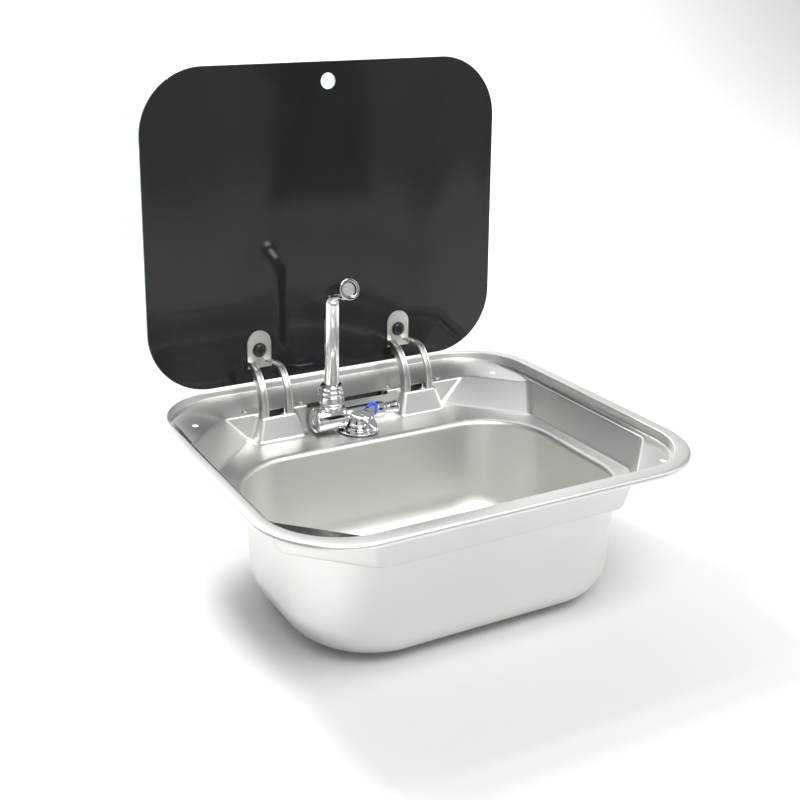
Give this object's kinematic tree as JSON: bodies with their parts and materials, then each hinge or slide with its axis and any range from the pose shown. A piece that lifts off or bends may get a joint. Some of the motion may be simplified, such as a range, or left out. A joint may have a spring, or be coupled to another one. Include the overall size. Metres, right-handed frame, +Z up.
{
  "type": "sink with glass lid",
  "caption": "Drop-in steel sink with a folding black glass lid on spring hinges and a cold tap whose spout folds flat under the lid.",
  "frame": {"origin": "centre of the bounding box at the lowest point, on the underside of the pressed waste seat", "axes": "+X to the right when facing the sink, +Y to the back where the hinges are, +Z up; the lid is open at rest"},
  "size_m": [0.42, 0.37, 0.4668],
  "materials": {
    "pan_steel": "satin, fine polish with soft broad reflections",
    "hinge_steel": "satin, sheared edges slightly bright",
    "spring_steel": "drawn wire, slightly dark",
    "black_glass": "polished tempered glass, printed black behind, opaque",
    "black_plastic": "half gloss",
    "rubber": "matt",
    "chrome": "mirror polish with faint wipe marks",
    "screen": "fine grey mesh",
    "blue_mark": "smooth",
    "brass": "machined"
  },
  "bodies": {
    "basin": {"sink_pan": "pan_steel", "left_hinge_bracket": "hinge_steel", "left_hinge_pin": "hinge_steel", "left_hinge_spring": "spring_steel", "left_outer_rivet": "hinge_steel", "left_inner_rivet": "hinge_steel", "right_hinge_bracket": "hinge_steel", "right_hinge_pin": "hinge_steel", "right_hinge_spring": "spring_steel", "right_outer_rivet": "hinge_steel", "right_inner_rivet": "hinge_steel", "tap_base": "chrome", "tap_gasket": "rubber", "tap_tail": "brass", "tap_clamp_washer": "pan_steel", "tap_clamp_nut": "brass", "tap_inlet": "brass", "tap_body": "chrome", "tap_plug": "chrome"},
    "lid": {"glass_lid": "black_glass", "left_hinge_arm": "hinge_steel", "left_lid_screw": "black_plastic", "left_front_washer": "rubber", "left_rear_washer": "rubber", "left_cap_nut": "black_plastic", "right_hinge_arm": "hinge_steel", "right_lid_screw": "black_plastic", "right_front_washer": "rubber", "right_rear_washer": "rubber", "right_cap_nut": "black_plastic"},
    "folding_hub": {"tap_hub": "chrome", "tap_end_cap": "chrome", "tap_collar": "chrome"},
    "spout": {"spout_tube": "chrome", "aerator_housing": "chrome", "aerator_screen": "screen"},
    "lever": {"tap_knob": "chrome", "knob_mark": "blue_mark", "knob_spindle": "brass"}
  },
  "joints": [
    {"name": "lid_hinge", "type": "hinge", "parent": "basin", "child": "lid", "pos_m": [0, 0.1652, 0.1332], "axis": [1, 0, 0], "range_deg": [0, 90.76]},
    {"name": "tap_fold", "type": "hinge", "parent": "basin", "child": "folding_hub", "pos_m": [0, 0.11, 0.1197], "axis": [1, 0, 0], "range_deg": [0, 90]},
    {"name": "spout_swivel", "type": "hinge", "parent": "folding_hub", "child": "spout", "pos_m": [-0.028, 0.11, 0.1197], "axis": [0, 0, 1], "range_deg": [-80, 80]},
    {"name": "lever_turn", "type": "hinge", "parent": "basin", "child": "lever", "pos_m": [0.002, 0.0915, 0.122], "axis": [0, -0.5707, 0.8211], "range_deg": [0, 90]}
  ],
  "couplings": [
    {"joint": "tap_fold", "follows": "lid_hinge", "ratio": 0.9916}
  ]
}
